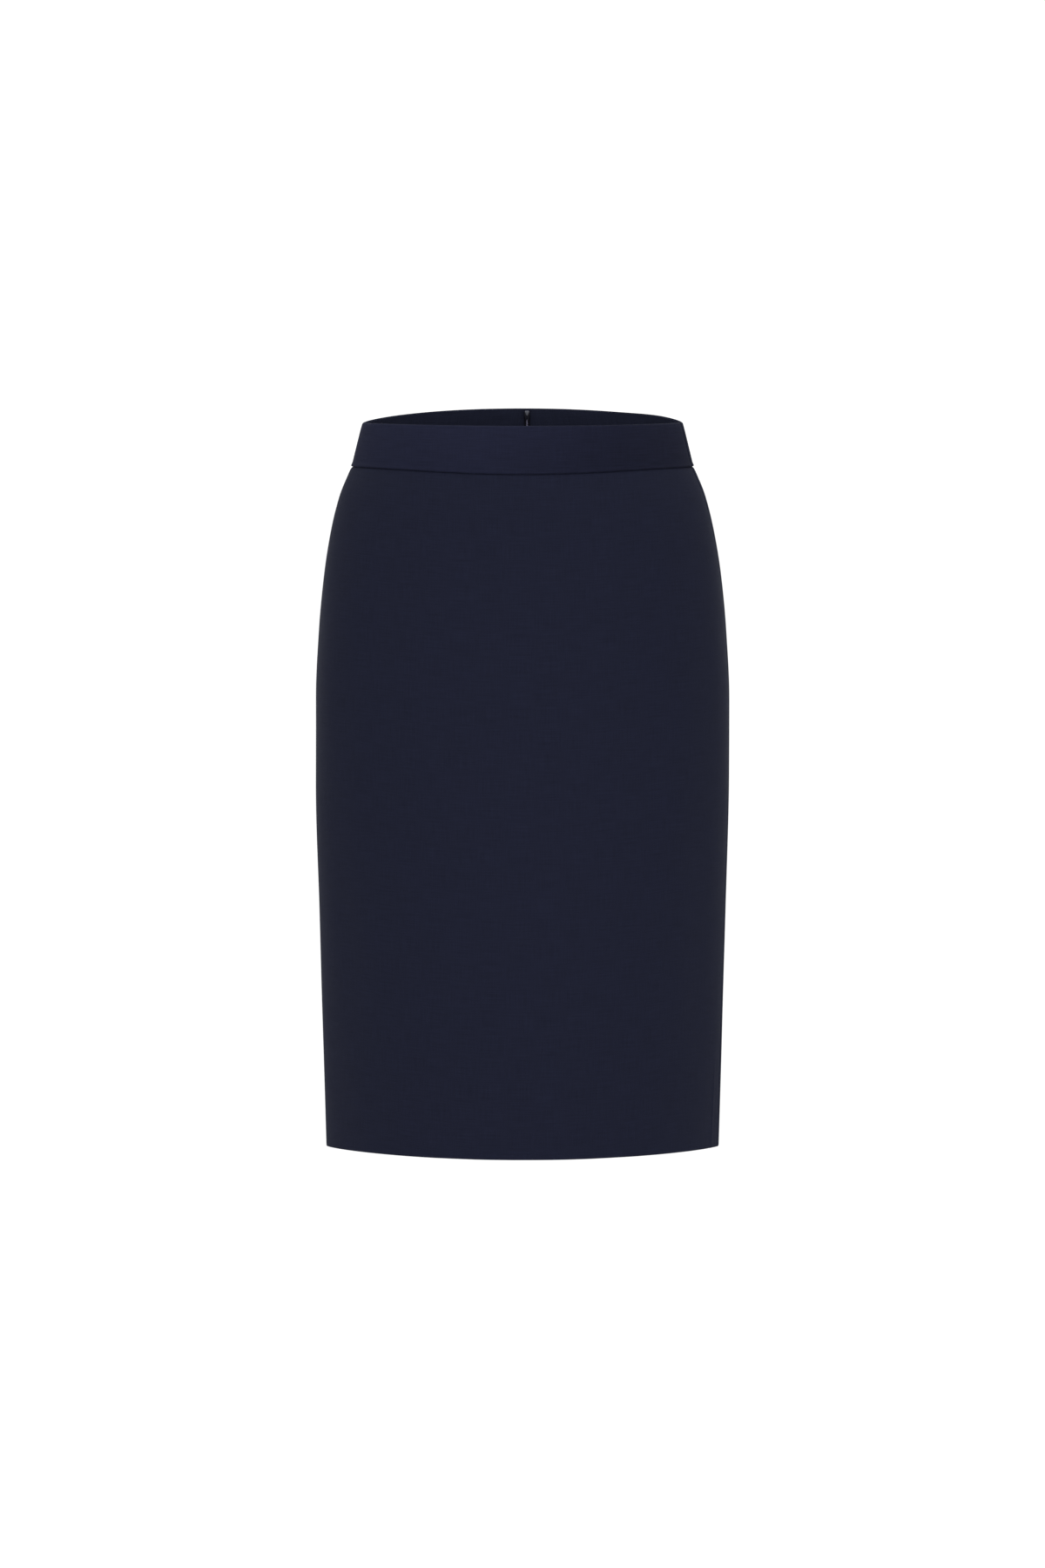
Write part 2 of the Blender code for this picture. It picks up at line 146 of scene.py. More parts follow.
def tangent(azimuth, level):
    """Along the outline: metres of cloth for each radian of azimuth, as vectors in plan."""
    ahead = ring(azimuth + SMALL_TURN, level)[0]
    behind = ring(azimuth - SMALL_TURN, level)[0]
    return (ahead - behind) / (2 * SMALL_TURN)


def speed(azimuth, level):
    return np.linalg.norm(tangent(azimuth, level), axis=-1)


def unit(vectors):
    return vectors / np.linalg.norm(vectors, axis=-1, keepdims=True)


def skirt_points(azimuth, level, inset):
    """Points of the skirt's outer face at one level, each moved inwards by its inset."""
    azimuth = np.asarray(azimuth, float)
    plan, rise = ring(azimuth, level)
    along = unit(tangent(azimuth, level))
    outward = np.stack([along[..., 1], -along[..., 0]], axis=-1)
    plan = plan - outward * np.asarray(inset)[..., None]
    return np.concatenate([plan, (rise - level)[..., None]], axis=-1)


# The drape --------

Fold = namedtuple("Fold", "azimuth top bottom width depth")
# Degrees and millimetres. A trough has a positive depth and a ridge a negative one.
FOLDS = [
    Fold(213, 40, 430, 22, 1.5),
    Fold(228, 40, 260, 18, -0.6),
    Fold(318, 44, 400, 20, 1.5),
    Fold(303, 42, 240, 18, -0.5),
    Fold(199, 160, 520, 15, 0.6),
    Fold(341, 180, 540, 15, 0.6),
    Fold(266, 240, 560, 50, -1.4),
    Fold(240, 420, 650, 22, 0.8),
    Fold(287, 300, 650, 26, -0.6),
    Fold(304, 440, 650, 20, 0.8),
    Fold(48, 60, 310, 24, 1.2),
    Fold(62, 150, 480, 20, 0.9),
    Fold(130, 56, 330, 26, 1.1),
    Fold(117, 190, 520, 22, 0.9),
    Fold(20, 190, 560, 18, 0.8),
    Fold(159, 170, 520, 18, 0.9),
    Fold(76, 470, 640, 24, -0.6),
    Fold(104, 450, 640, 26, 0.6),
]
# Where the turned-in edges inside the side seam and the hem show through the cloth.
IMPRINT_AZIMUTH = math.radians(353.8)
IMPRINTS = [
    Fold(353.8, 505, 690, 0.9, -0.24),
    Fold(352.7, 505, 690, 1.4, 0.15),
    Fold(354.9, 505, 690, 1.4, 0.15),
]
# The waistband leans in a little more towards its top edge, unevenly.
BAND_LEANS = [
    Fold(236, -110, 32, 62, 2.0),
    Fold(272, -110, 30, 40, 0.9),
    Fold(318, -110, 34, 44, -1.6),
    Fold(95, -110, 28, 90, 0.9),
]
DART_FROM_ZIP = 27.5
DARTS = [
    Fold(math.degrees(CENTRE_BACK) + side * DART_FROM_ZIP, -30, 134, width, depth)
    for side in (-1, 1)
    for width, depth in ((0.55, 0.85), (4.5, 0.3))
]
PANEL_FOLDS = FOLDS + IMPRINTS + DARTS
ARC_RADIUS = 0.135
RIPPLES = [(7, 21, 0.4), (11, -17, 1.9), (17, 33, 3.1), (5, 47, 5.2), (23, -29, 2.6)]
RIPPLE_DEPTH = 0.05 * MM


def smooth_step(value, start, end):
    share = np.clip((value - start) / (end - start), 0, 1)
    return share * share * (3 - 2 * share)


def turn_from(line, azimuth):
    """The shorter turn from an upright line to an azimuth."""
    return np.remainder(azimuth - line + math.pi, 2 * math.pi) - math.pi


def drape(azimuth, level):
    """How far the hanging cloth sinks in from the frame's face, for one row of cloth."""
    sink = np.zeros_like(azimuth)
    for fold in PANEL_FOLDS if level >= BAND_SEAM else BAND_LEANS:
        away = turn_from(math.radians(fold.azimuth), azimuth) * ARC_RADIUS
        fade = 0.3 * (fold.bottom - fold.top) * MM
        shown = smooth_step(level, fold.top * MM, fold.top * MM + fade)
        shown *= 1 - smooth_step(level, fold.bottom * MM - fade, fold.bottom * MM)
        sink += fold.depth * MM * shown * np.exp(-((away / (fold.width * MM)) ** 2))
    held = smooth_step(level, BAND_SEAM, BAND_SEAM + 60 * MM)
    for around, down, start in RIPPLES:
        sink += RIPPLE_DEPTH * held * np.sin(around * azimuth + down * level + start)
    return sink


# The waist stands a little higher behind the wearer's left hip.
LIFT_AZIMUTH = math.radians(15.5)
LIFT_SPREAD = math.radians(16)
LIFT = 1.1 * MM


def waist_lift(azimuth, level):
    beside = np.exp(-((turn_from(LIFT_AZIMUTH, azimuth) / LIFT_SPREAD) ** 2))
    return LIFT * beside * (1 - smooth_step(level, 0, BAND_SEAM))


# Cutting cloth --------

Column = namedtuple("Column", "azimuth shift inset")
Row = namedtuple("Row", "level inset")
Roll = namedtuple("Roll", "distance inset")
# Millimetres from a sewn line, and how far the cloth has turned in there.
SEAM_ROLL = Roll(
    distance=(3.2, 1.9, 1.1, 0.6, 0.3, 0.1, 0.03),
    inset=(0.0, 0.03, 0.11, 0.25, 0.45, 0.7, 0.95),
)
# The waistband stands a little proud of the panels at its seam.
BAND_SEAM_ROLL = Roll(
    distance=(5.0, 3.8, 2.9, 2.2, 1.6, 1.1, 0.7, 0.45, 0.3, 0.25),
    inset=(0.0, -0.04, -0.16, -0.36, -0.46, -0.4, -0.15, 0.25, 0.7, 1.3),
)
# The panels' own allowance turns up inside it.
PANEL_SEAM_ROLL = Roll(
    distance=(4.5, 3.0, 1.9, 1.1, 0.5, 0.15, 0.05, -0.4, -4.0),
    inset=(0.0, 0.06, 0.16, 0.34, 0.62, 0.95, 1.3, 1.15, 0.9),
)
# Over a folded edge: the face, the fold, and the turned-in side.
FOLDED_EDGE = Roll(
    distance=(3.2, 1.6, 0.8, 0.35, 0.1, 0.0, 0.12, 0.5, 1.2),
    inset=(0.0, 0.03, 0.1, 0.24, 0.45, 0.72, 1.0, 1.2, 1.27),
)
# The waistband's top is rounder, over the allowances pressed inside it.
BAND_TOP_ROLL = Roll(
    distance=(9.0, 6.5, 4.5, 3.0, 1.8, 1.0, 0.5, 0.2, 0.05, 0.0, 0.1, 0.5),
    inset=(0.0, 0.02, 0.07, 0.13, 0.2, 0.3, 0.46, 0.7, 1.0, 1.35, 1.75, 2.1),
)


def edge_columns(azimuth, side):
    """Columns of the face where it rolls in at an upright seam.

    side is 1 where the cloth lies at larger azimuths than the seam, and -1 at smaller ones.
    """
    columns = [Column(azimuth, side * away * MM, inset * MM) for away, inset in zip(*SEAM_ROLL)]
    return columns[::-side]


def allowance_inset(sizes):
    """How deep the face of a pressed-back allowance lies, behind the cloth it turns from."""
    return 2 * sizes.cloth + 0.3 * MM


def seam_columns(azimuth, side, sizes):
    """Columns from a turned-in allowance's raw edge, round the seam, to the panel's face."""
    wide, inset = side * sizes.allowance, allowance_inset(sizes)
    turned = [Column(azimuth, wide * share, inset) for share in (1.0, 0.66, 0.33, 0.12)]
    turned.append(Column(azimuth, side * 0.3 * MM, inset * 0.92))
    face = edge_columns(azimuth, side)
    return turned + face if side > 0 else face + turned[::-1]


EDGE_ROOM = 0.045  # radians kept clear for the rolled columns beside a seam


def even_columns(start, end, count):
    """Columns between two upright lines, clear of the rolled edges at each."""
    azimuths = np.linspace(start + EDGE_ROOM, end - EDGE_ROOM, count)
    return [Column(azimuth, 0.0, 0.0) for azimuth in azimuths]


CROWD = (0.08, 0.3, 0.6, 1.0, 1.4, 1.8)


def crowded(columns, azimuth):
    """The columns with more of them close to one upright line, for a narrow crease."""
    kept = [c for c in columns if abs(c.azimuth - azimuth) * ARC_RADIUS > 3 * MM]
    near = [Column(azimuth, side * d * MM, 0.0) for side in (-1, 1) for d in CROWD]
    return sorted(kept + near, key=lambda c: c.azimuth + c.shift / ARC_RADIUS)


def with_side_fold(columns):
    """The columns, crowded close to the garment's side fold if they cross it."""
    for fold in (0.0, math.pi):
        if columns[0].azimuth < fold < columns[-1].azimuth:
            columns = crowded(columns, fold)
    return columns


def even_rows(start, end, spacing):
    count = max(2, round((end - start) / spacing))
    return [Row(start + (end - start) * i / count, 0.0) for i in range(1, count)]


def rolled_rows(level, side, roll):
    """Rows that roll in at a sewn or folded line; side is 1 where the cloth lies below it."""
    rows = [Row(level + side * away * MM, inset * MM) for away, inset in zip(*roll)]
    return rows[::-1] if side > 0 else rows


def zip_gap(level):
    """How far each closed edge stands off from the centre back, for the slider's neck."""
    return MM * np.interp(level / MM, (0, 2.4, 6.4, 9.4), (0.15, 0.55, 0.55, 0.0))


TUCK = 0.6 * MM  # how far allowances stop short of the hem's fold


def cloth_points(columns, rows, adjust=None):
    """The sheet's points by row and column. adjust(azimuth, row, inset) may move them."""
    base, shift, turned_in = np.array(columns).T
    beside_zip = (base == CENTRE_BACK) * np.sign(shift) * np.exp(-np.abs(shift) / (5 * MM))
    tucked = TUCK * (turned_in > 0.9 * MM)
    lines = []
    for row in rows:
        level = float(np.clip(row.level, 0, HEM))
        azimuth = base + (shift + beside_zip * zip_gap(level)) / speed(base, level)
        inset = turned_in + row.inset
        if adjust:
            inset = adjust(azimuth, row, inset)
        line = skirt_points(azimuth, level, inset + drape(azimuth, level))
        line[:, 2] += waist_lift(azimuth, level)
        line[:, 2] += tucked * smooth_step(level, HEM - 4 * MM, HEM - 2 * MM)
        lines.append(line)
    return np.array(lines)


def travelled(points, axis=0):
    """How far each point lies along its row or column of points."""
    steps = np.diff(points, axis=axis, prepend=points.take([0], axis))
    return np.cumsum(np.linalg.norm(steps, axis=-1), axis=axis)


def cloth_uv(points):
    """Metres along the weft and the warp, measured on the sheet from its middle column."""
    across = travelled(points, axis=1)
    across -= across[:, points.shape[1] // 2][:, None]
    return np.stack([across, -travelled(points)], axis=-1)


def cloth_sheet(node, columns, rows, material, thickness, adjust=None, keep=None):
    """A thin shell of cloth over a grid of columns round the body and rows down it."""
    points = cloth_points(columns, rows, adjust)
    uvs = cloth_uv(points)
    last_column, last_row = len(columns) - 1, len(rows) - 1
    cloth = bmesh.new()
    bmesh.ops.create_grid(cloth, x_segments=last_column, y_segments=last_row, size=1.0)
    place = {}
    for vert in cloth.verts:
        column = round((vert.co.x + 1) / 2 * last_column)
        row = round((1 - vert.co.y) / 2 * last_row)
        place[vert] = (row, column)
        vert.co = points[row, column]
    uv_layer = cloth.loops.layers.uv.new("cloth")
    for face in cloth.faces:
        face.smooth = True
        for loop in face.loops:
            loop[uv_layer].uv = uvs[place[loop.vert]]
    if keep:
        # A face's first corner by row and column is the least of its four.
        dropped = [f for f in cloth.faces if not keep(*min(place[vert] for vert in f.verts))]
        bmesh.ops.delete(cloth, geom=dropped, context="FACES")
    return sew_on(finished(f"{node}_cloth", cloth, material, thickness), node)


def new_object(name, data):
    obj = bpy.data.objects.new(name, data)
    bpy.context.scene.collection.objects.link(obj)
    return obj


def finished(name, shape, material, thickness=None):
    """Makes an object of a bmesh, and gives a sheet its thickness inwards from its face."""
    mesh = bpy.data.meshes.new(name)
    shape.to_mesh(mesh)
    shape.free()
    mesh.materials.append(material)
    obj = new_object(name, mesh)
    if thickness:
        wall = obj.modifiers.new("cloth", "SOLIDIFY")
        wall.thickness = thickness
        wall.offset = -1
    return obj


def sew_on(obj, node):
    """Rides a piece on the skirt, in place of its frame node."""
    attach(obj, "skirt")
    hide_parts(node)
    return obj


# Finishes --------


class Value:
    """A number that varies over a surface. An expression on it adds Math nodes."""

    def __init__(self, finish, socket):
        self.finish = finish
        self.socket = socket

    def math(self, operation, *values):
        return self.finish.node("ShaderNodeMath", {"operation": operation}, *values)

    def __add__(self, other):
        return self.math("ADD", self, other)

    __radd__ = __add__

    def __sub__(self, other):
        return self.math("SUBTRACT", self, other)

    def __rsub__(self, other):
        return self.math("SUBTRACT", other, self)

    def __mul__(self, other):
        return self.math("MULTIPLY", self, other)

    __rmul__ = __mul__

    def __pow__(self, other):
        return self.math("POWER", self, other)

    def __gt__(self, other):
        return self.math("GREATER_THAN", self, other)

    def __abs__(self):
        return self.math("ABSOLUTE", self)

    def sine(self):
        return self.math("SINE", self)

    def clamped(self):
        return self.finish.node("ShaderNodeClamp", {}, self)


class Finish:
    """A material, and the one way its nodes are added."""

    def __init__(self, name, **constants):
        self.material = bpy.data.materials.new(name)
        self.material.use_nodes = True
        self.tree = self.material.node_tree
        self.shader = self.tree.nodes["Principled BSDF"]
        for socket, value in constants.items():
            self.shader.inputs[socket.replace("_", " ")].default_value = value

    def node(self, kind, settings, *values, output=0, **named):
        """Adds a node: its settings first, then its sockets in order or by name."""
        node = self.tree.nodes.new(kind)
        for setting, value in settings.items():
            setattr(node, setting, value)
        for place, value in [*enumerate(values), *named.items()]:
            socket = node.inputs[place.replace("_", " ") if isinstance(place, str) else place]
            if isinstance(value, Value):
                self.tree.links.new(value.socket, socket)
            else:
                socket.default_value = value
        return Value(self, node.outputs[output])

    def feed(self, socket, value):
        self.tree.links.new(value.socket, self.shader.inputs[socket])

    def uv(self):
        return self.node("ShaderNodeUVMap", {"uv_map": "cloth"})

    def place(self):
        return self.node("ShaderNodeTexCoord", {}, output="Object")

    def parts(self, vector):
        """The X, Y and Z of a vector, as numbers."""
        x = self.node("ShaderNodeSeparateXYZ", {}, vector)
        return [Value(self, x.socket.node.outputs[axis]) for axis in "XYZ"]

    def stretched(self, vector, scale):
        """A vector scaled by a different amount along each axis."""
        return self.node("ShaderNodeVectorMath", {"operation": "MULTIPLY"}, vector, scale)

    def noise(self, vector, scale, detail=2.0, roughness=0.5):
        look = {"Scale": scale, "Detail": detail, "Roughness": roughness}
        return self.node("ShaderNodeTexNoise", {}, Vector=vector, **look)

    def dye(self, tone, colour, darkest, lightest):
        """Feeds the base colour: one colour, from a darker to a lighter tone of it."""
        node = self.tree.nodes.new("ShaderNodeMix")
        node.data_type = "RGBA"
        self.tree.links.new(tone.socket, node.inputs["Factor"])
        for name, factor in (("A", darkest), ("B", lightest)):
            socket = next(s for s in node.inputs if s.name == name and s.type == "RGBA")
            socket.default_value = (*(channel * factor for channel in colour), 1.0)
        self.feed("Base Color", Value(self, next(s for s in node.outputs if s.type == "RGBA")))

    def bump(self, height, distance, strength=1.0):
        self.feed(
            "Normal",
            self.node("ShaderNodeBump", {}, Strength=strength, Distance=distance, Height=height),
        )


def suiting(name, colour, pitch, slub=0.5, painted_light=0.0):
    """Fine plain-weave cloth: threads over and under, uneven in tone, with long thin slubs.

    With painted light given, the tone is painted a little lighter towards its top edge and the
    garment's own right, where light from above and from that side falls.
    """
    cloth = Finish(
        name,
        Sheen_Weight=0.01,
        Sheen_Roughness=0.45,
        Sheen_Tint=(0.62, 0.68, 1.0, 1.0),
        Specular_IOR_Level=0.035,
    )
    uv = cloth.uv()
    weft_way, warp_way, _ = cloth.parts(uv)
    turn = math.pi / pitch
    weave = (weft_way * turn).sine() * (warp_way * turn).sine()
    height = abs(weave) ** 0.6
    warp_on_top = weave > 0.0
    warp_tone = cloth.noise(cloth.stretched(uv, (1.0, 0.04, 1.0)), 0.55 / pitch, 1.0)
    weft_tone = cloth.noise(cloth.stretched(uv, (0.03, 1.0, 1.0)), 0.6 / pitch, 1.0)
    cloud = cloth.noise(uv, 38.0, 3.0)
    slubs = cloth.noise(cloth.stretched(uv, (0.05, 1.0, 1.0)), 900.0, 2.0, 0.6)
    # The weave's relief also sets the tone: painted shade darkens the gaps between threads.
    tone = (
        0.18
        + height * 0.28
        + warp_on_top * 0.08
        + (warp_tone - 0.5) * 0.35
        + (weft_tone - 0.5) * (0.35 + slub * 0.6)
        + (cloud - 0.5) * 0.12
        + (slubs - 0.5) * slub * 0.4
    )
    if painted_light:
        # Painted highlight: lighter towards -X and towards the top edge, for the lamps above and at
        # that side.
        sideways, _, upward = cloth.parts(cloth.place())
        shine = (0.7 - sideways * 9.0).clamped() + (upward * 28.0 + 1.0).clamped() * 0.5
        tone = tone + (shine - 0.5) * painted_light
    cloth.dye(tone, colour, 0.62, 1.75)
    cloth.feed("Roughness", (cloud - 0.5) * 0.12 + 0.82)
    relief = height * 0.7 + (warp_tone + weft_tone) * 0.5 + slubs * slub * 0.5
    cloth.bump(relief, 0.12 * MM, 0.55)
    return cloth.material


def zip_tape_finish(colour):
    """Close warp-knitted tape: fine upright ribs crossed by finer ones."""
    tape = Finish("zip tape", Sheen_Weight=0.02, Specular_IOR_Level=0.1)
    across, down, _ = tape.parts(tape.uv())
    ribs = (across * (2 * math.pi / 0.9e-3)).sine() * 0.5 + 0.5
    loops = (down * (2 * math.pi / 0.5e-3)).sine() * 0.5 + 0.5
    # Painted shade: the tone darkens in the valleys between the ribs and loops.
    tone = ribs * 0.5 + loops * 0.3 + 0.1
    tape.dye(tone, colour, 0.6, 1.4)
    tape.feed("Roughness", tone * 0.1 + 0.75)
    tape.bump(ribs + loops * 0.6, 0.1 * MM, 0.6)
    return tape.material


def cloudy(name, colour, scale, tones, roughness, specular):
    """A plain surface a little uneven in tone and gloss; tones and roughness are ranges."""
    surface = Finish(name, Specular_IOR_Level=specular)
    cloud = surface.noise(surface.place(), scale)
    surface.dye(cloud, colour, *tones)
    surface.feed("Roughness", cloud * (roughness[1] - roughness[0]) + roughness[0])
    return surface.material


def nylon_finish(colour):
    """Moulded nylon monofilament."""
    return cloudy("nylon coil", colour, 900.0, (0.85, 1.15), (0.32, 0.47), 0.5)


def nickel_finish(colour):
    """Tumbled nickel plate: fine scuffs and a cloudy shine."""
    nickel = Finish("dull nickel", Metallic=1.0)
    place = nickel.place()
    cloud = nickel.noise(place, 420.0, 3.0)
    scuffs = nickel.noise(nickel.stretched(place, (1.0, 1.0, 0.12)), 5200.0, 2.0)
    tone = cloud * 0.6 + scuffs * 0.4
    nickel.dye(tone, colour, 0.72, 1.2)
    nickel.feed("Roughness", scuffs * 0.22 + cloud * 0.12 + 0.2)
    nickel.bump(scuffs, 0.02 * MM, 0.4)
    return nickel.material


def lacquer_finish(colour, name):
    """Baked lacquer over metal."""
    return cloudy(name, colour, 700.0, (0.8, 1.3), (0.35, 0.55), 0.3)


def paper_finish(colour):
    """Matt studio paper with the faintest mottle."""
    return cloudy("pale paper", colour, 3.0, (0.99, 1.0), (0.9, 0.95), 0.1)


# Sizes and colours a user would change --------


def length_property(name, description, default):
    return FloatProperty(
        name=name, description=description, default=default, unit="LENGTH", subtype="DISTANCE"
    )


def colour_property(name, description, default):
    return FloatVectorProperty(
        name=name, description=description, default=default, subtype="COLOR", size=3
    )


class SkirtSizes(bpy.types.PropertyGroup):
    """Sizes of the cloth and of its sewing."""

    cloth: length_property("Cloth", "Thickness of the suiting", 0.45 * MM)
    thread_pitch: length_property("Thread pitch", "Spacing of the suiting's threads", 0.42 * MM)
    allowance: length_property("Allowance", "Width of the turned-in seam allowances", 13 * MM)
    hem_depth: length_property("Hem depth", "Depth of the turned-up hem", 36 * MM)
    spacing: length_property("Spacing", "Spacing of the cloth mesh", 3.4 * MM)
    vent_top: length_property("Vent top", "Level of the top of the back vent", 420 * MM)
    underlap: length_property("Underlap", "Width of the vent's underlap", 35 * MM)


class SkirtColours(bpy.types.PropertyGroup):
    """Colours of the cloth and of the zip."""

    suiting: colour_property("Suiting", "Skirt panels", (0.0058, 0.0068, 0.0145))
    waistband: colour_property("Waistband", "Waistband cloth given painted light", (0.0053, 0.0061, 0.0138))
    # Painted light: the facing is the panels' navy made lighter against the shade inside the
    # waistband.
    facing: colour_property("Facing", "Inside of the waistband", (0.0101, 0.0117, 0.0223))
    tape: colour_property("Zip tape", "Tapes of the zip", (0.0040, 0.0044, 0.0090))
    # The coil's light lilac grey is partly painted highlight, taken from the shine along the coil.
    coil: colour_property("Zip coil", "Nylon coil of the zip", (0.120, 0.115, 0.175))
    lacquer: colour_property("Lacquer", "The slider's body", (0.006, 0.0065, 0.012))
    # Painted reflection: the slider nose's light grey stands in for light off its bare metal.
    nose_reflection: colour_property("Nose reflection lacquer", "The slider's nose", (0.075, 0.078, 0.095))
    metal: colour_property("Zip metal", "Slider's lug and pull tab", (0.15, 0.153, 0.172))
    thread: colour_property("Thread", "The stitches that show", (0.0056, 0.0066, 0.0142))
    overlock: colour_property("Overlock", "Thread over raw edges", (0.0110, 0.0128, 0.0280))


# The skirt's panels --------

FRONT_ROUND = 0.47  # metres round the front and half the back, for spacing the columns
BACK_ROUND = 0.235


def shared_suiting(scene):
    """The panels' cloth, made once."""
    found = bpy.data.materials.get("navy suiting")
    if found:
        return found
    sizes, colours = scene.skirt_sizes, scene.skirt_colours
    return suiting("navy suiting", colours.suiting, sizes.thread_pitch, slub=0.15)


def panel_rows(sizes):
    """From the waistband's seam to the hem's fold, and up inside the turned-up hem."""
    top = rolled_rows(BAND_SEAM, 1, PANEL_SEAM_ROLL)
    fold = rolled_rows(HEM, -1, FOLDED_EDGE)
    turn_up = [Row(HEM - sizes.hem_depth * share, 1.3 * MM) for share in (0.12, 0.3, 0.65, 1.0)]
    middle = even_rows(top[-1].level, fold[0].level, sizes.spacing)
    return top + middle + fold + turn_up


def hung_panel(node, start, end, width, crease, sizes, cloth, adjust=None):
    """A panel between two seams, with more columns at its narrow crease."""
    face = even_columns(start, end, round(width / sizes.spacing))
    columns = (
        seam_columns(start, 1, sizes)
        + with_side_fold(crowded(face, crease))
        + seam_columns(end, -1, sizes)
    )
    rows = panel_rows(sizes)
    return cloth_sheet(node, columns, rows, cloth, sizes.cloth, adjust)


class SKIRT_OT_front_panel(bpy.types.Operator):
    """Cut and hang the front panel"""

    bl_idname = "skirt.front_panel"
    bl_label = "Front Panel"

    def execute(self, context):
        sizes, cloth = context.scene.skirt_sizes, shared_suiting(context.scene)
        ends = SIDE_RIGHT, SIDE_LEFT_AGAIN
        panel = hung_panel("front_panel", *ends, FRONT_ROUND, IMPRINT_AZIMUTH, sizes, cloth)
        return {"FINISHED"}


def back_panel_left(sizes, cloth):
    """It laps over at the vent, where its folded edge hangs free and a little proud."""

    def adjust(azimuth, row, turned_in):
        below = smooth_step(row.level, sizes.vent_top - 6 * MM, sizes.vent_top + 40 * MM)
        away = np.abs(CENTRE_BACK - azimuth) * ARC_RADIUS
        return turned_in - 0.5 * MM * below * np.exp(-away / (14 * MM))

    ends, dart = (SIDE_LEFT, CENTRE_BACK), math.radians(DARTS[0].azimuth)
    return hung_panel("back_panel_left", *ends, BACK_ROUND, dart, sizes, cloth, adjust)


def back_panel_right(sizes, cloth):
    """Below the top of the vent it steps in and runs on as the underlap."""
    inset = allowance_inset(sizes)
    under = 1.75 * MM
    fold_back = [
        Column(CENTRE_BACK, back * MM - sizes.underlap, under + inset * turned)
        for back, turned in ((11, 1.0), (1, 1.0), (0, 0.5))
    ]
    flat = [
        Column(CENTRE_BACK, -sizes.underlap * share, under)
        for share in (0.98, 0.8, 0.6, 0.4, 0.2, 0.08, 0.02)
    ]
    face = even_columns(CENTRE_BACK, SIDE_RIGHT, round(BACK_ROUND / sizes.spacing))
    rest = crowded(face, math.radians(DARTS[-1].azimuth)) + seam_columns(SIDE_RIGHT, -1, sizes)
    columns = fold_back + flat + edge_columns(CENTRE_BACK, 1) + rest
    first_of_seam = len(fold_back) + len(flat)
    base, shift, _ = np.array(columns).T
    near = (base == CENTRE_BACK) & (shift > 0)
    step_in = under * (1 - smooth_step(shift, 1.5 * MM, 6 * MM)) * near
    rows = panel_rows(sizes)
    vent_row = next(i for i, row in enumerate(rows) if row.level > sizes.vent_top)

    def adjust(azimuth, row, turned_in):
        below = smooth_step(row.level, sizes.vent_top - 2 * MM, sizes.vent_top + 8 * MM)
        return turned_in + (np.where(near, step_in + row.inset, turned_in) - turned_in) * below

    def keep(row, column):
        return column >= first_of_seam or row >= vent_row

    wall = sizes.cloth
    return cloth_sheet("back_panel_right", columns, rows, cloth, wall, adjust, keep)


class SKIRT_OT_back_panels(bpy.types.Operator):
    """Cut and hang the two back panels, lapped at the vent"""

    bl_idname = "skirt.back_panels"
    bl_label = "Back Panels"

    def execute(self, context):
        sizes, cloth = context.scene.skirt_sizes, shared_suiting(context.scene)
        left, right = back_panel_left(sizes, cloth), back_panel_right(sizes, cloth)
        return {"FINISHED"}


# The waistband --------

# Each cut's ends, and how long the waistband and its facing are at their lower edges.
Cut = namedtuple("Cut", "part start end band_length facing_length")
THREE_CUTS = [
    Cut("front", SIDE_RIGHT, SIDE_LEFT_AGAIN, 0.360, 0.353),
    Cut("back_left", SIDE_LEFT, CENTRE_BACK, 0.185, 0.178),
    Cut("back_right", CENTRE_BACK, SIDE_RIGHT, 0.182, 0.176),
]


def band_rows():
    """From its turned-in side over the top edge, and down to the seam with the panels."""
    top = rolled_rows(0.0, 1, BAND_TOP_ROLL)
    bottom = rolled_rows(BAND_SEAM, -1, BAND_SEAM_ROLL)
    inside = [Row(5 * MM, 2.2 * MM), Row(2.5 * MM, 2.2 * MM)]
    return inside + top + even_rows(top[-1].level, bottom[0].level, 1.6 * MM) + bottom


class SKIRT_OT_waistband(bpy.types.Operator):
    """Cut the shaped waistband in three and sew it on"""

    bl_idname = "skirt.waistband"
    bl_label = "Waistband"

    def execute(self, context):
        sizes, colours = context.scene.skirt_sizes, context.scene.skirt_colours
        # The waistband's tone gets painted light: lighter at its top edge and on the garment's own
        # right.
        cloth = suiting("waistband with painted light", colours.waistband, sizes.thread_pitch, 0.4, painted_light=0.3)
        for cut in THREE_CUTS:
            face = even_columns(cut.start, cut.end, round(cut.band_length / sizes.spacing))
            columns = (
                edge_columns(cut.start, 1)
                + with_side_fold(face)
                + edge_columns(cut.end, -1)
            )
            node = f"waistband_{cut.part}"
            band = cloth_sheet(node, columns, band_rows(), cloth, sizes.cloth)
            flat = (cut.band_length, 0.046)
            0.95 * flat[0] * flat[1]
        return {"FINISHED"}


# The facing inside the waistband --------

ZIP_RADIUS = 0.12  # metres of facing for each radian beside the zip


